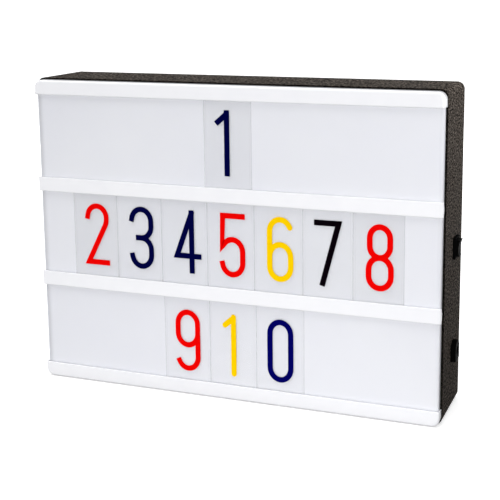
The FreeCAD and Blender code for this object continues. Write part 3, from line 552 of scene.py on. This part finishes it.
def print_numbers():
    inks = {name: ink("ink_" + name, colour) for name, colour in INKS.items()}
    for row, low, numbers in ROWS:
        for place, (digit, x, colour) in enumerate(numbers, 1):
            body = "%s_%d" % (row, place)
            number_piece(body.replace("card", "number"), digit, x, low, inks[colour],
                         colour == ROUND_ENDED, body)


# ------------------------------------------------------------------ floor and light
FLOOR_SIZE = 30.0            # metres from its middle to its edge
FLOOR_BELOW = 0.0001         # so that the object's foot isn't in its plane
FLOOR_SEEN = 0.97            # the floor's white where the camera sees it
FLOOR_LIFT = 0.50            # light that the seen floor adds, so that it stays white far out
FLOOR_BOUNCE = 0.12          # what it throws back on the object
PATCH_BOUNCE = 0.42          # and what a paler patch in front of the object throws back
# The patch's borders: an axis, where the patch is whole, and where it has faded to nothing.
PATCH_BORDERS = (("X", 0.14, 0.18), ("Y", -0.055, -0.030), ("Y", -0.12, -0.24))
WORLD_LIGHT = 0.10           # what falls on the object from all around


def seen_by_eye(tree):
    """1 for camera, glossy and transmission rays, else 0."""
    path = add(tree, "LightPath").outputs
    total = path["Is Camera Ray"]
    for name in ("Is Glossy Ray", "Is Transmission Ray"):
        total = calculate(tree, "MAXIMUM", total, path[name])
    return total


def make_floor():
    mesh = bmesh.new()
    bmesh.ops.create_grid(mesh, x_segments=8, y_segments=8, size=FLOOR_SIZE)
    data = bpy.data.meshes.new("floor")
    mesh.to_mesh(data)
    mesh.free()
    floor = bpy.data.objects.new("floor", data)
    floor.location = (0, 0, -FLOOR_BELOW)
    scene.collection.objects.link(floor)
    material, tree, shader, place = shader_of("floor_paper")
    seen = seen_by_eye(tree)
    patch = 1.0
    for axis, whole, none in PATCH_BORDERS:
        fade = map_range(tree, along(tree, place["Object"], axis), whole, none, 1.0, 0.0)
        patch = calculate(tree, "MULTIPLY", patch, fade)
    bounce = map_range(tree, patch, 0.0, 1.0, FLOOR_BOUNCE, PATCH_BOUNCE)
    fill(tree, shader, {
        "Base Color": mix(tree, seen, bounce, (FLOOR_SEEN, FLOOR_SEEN, FLOOR_SEEN, 1)),
        "Emission Color": (1, 1, 1, 1),
        "Emission Strength": calculate(tree, "MULTIPLY", seen, FLOOR_LIFT),
        "Roughness": 0.9, "Specular IOR Level": 0.0})
    data.materials.append(material)


def make_world():
    """A faint even light that looks white to the camera, and in gloss and clear sheets."""
    world = bpy.data.worlds.new("studio")
    world.use_nodes = True
    tree = world.node_tree
    strength = add(tree, "Mix", data_type="FLOAT")
    fill(tree, strength, {0: seen_by_eye(tree), FIRST_NUMBER: WORLD_LIGHT, SECOND_NUMBER: 1.0})
    fill(tree, tree.nodes["Background"], {"Color": (1, 1, 1, 1),
                                          "Strength": strength.outputs[MIXED_NUMBER]})
    scene.world = world


def add_lamp(name, kind, way):
    """A new lamp that shines along a way."""
    data = bpy.data.lights.new(name, kind)
    lamp = bpy.data.objects.new(name, data)
    lamp.rotation_mode = "QUATERNION"
    lamp.rotation_quaternion = (-way).to_track_quat("Z", "Y")
    scene.collection.objects.link(lamp)
    return lamp, data


def soft_sun(name, towards, level, angle):
    """A wide, even light; level is what a white surface that faces it shows."""
    _, data = add_lamp(name, "SUN", Vector(towards))
    data.energy = level * math.pi
    data.angle = math.radians(angle)


def soft_box(name, place, aim, level, side):
    """A square lamp; level is what a white surface at its aim shows when it faces the lamp."""
    way = Vector(aim) - Vector(place)
    lamp, data = add_lamp(name, "AREA", way)
    data.shape = "SQUARE"
    data.size = side
    data.energy = level * math.pi ** 2 * way.length_squared
    lamp.location = place
    lamp.visible_camera = False


def make_light():
    middle = (0.0, 0.0, 0.11)                    # of the object
    right_wall = (0.15, 0.0, 0.20)               # high on it
    soft_sun("overhead", towards=(0.24, 0.18, -1.0), level=0.78, angle=55)
    soft_box("front", (0.33, -1.30, 0.223), middle, level=0.72, side=0.33)
    soft_box("back_left", (-0.60, 1.40, 0.10), middle, level=0.60, side=0.16)
    soft_box("right_side", (0.27, 0.0, 0.245), right_wall, level=0.97, side=0.08)


make_camera()
finish_nodes()
print_numbers()
make_floor()
make_world()
make_light()
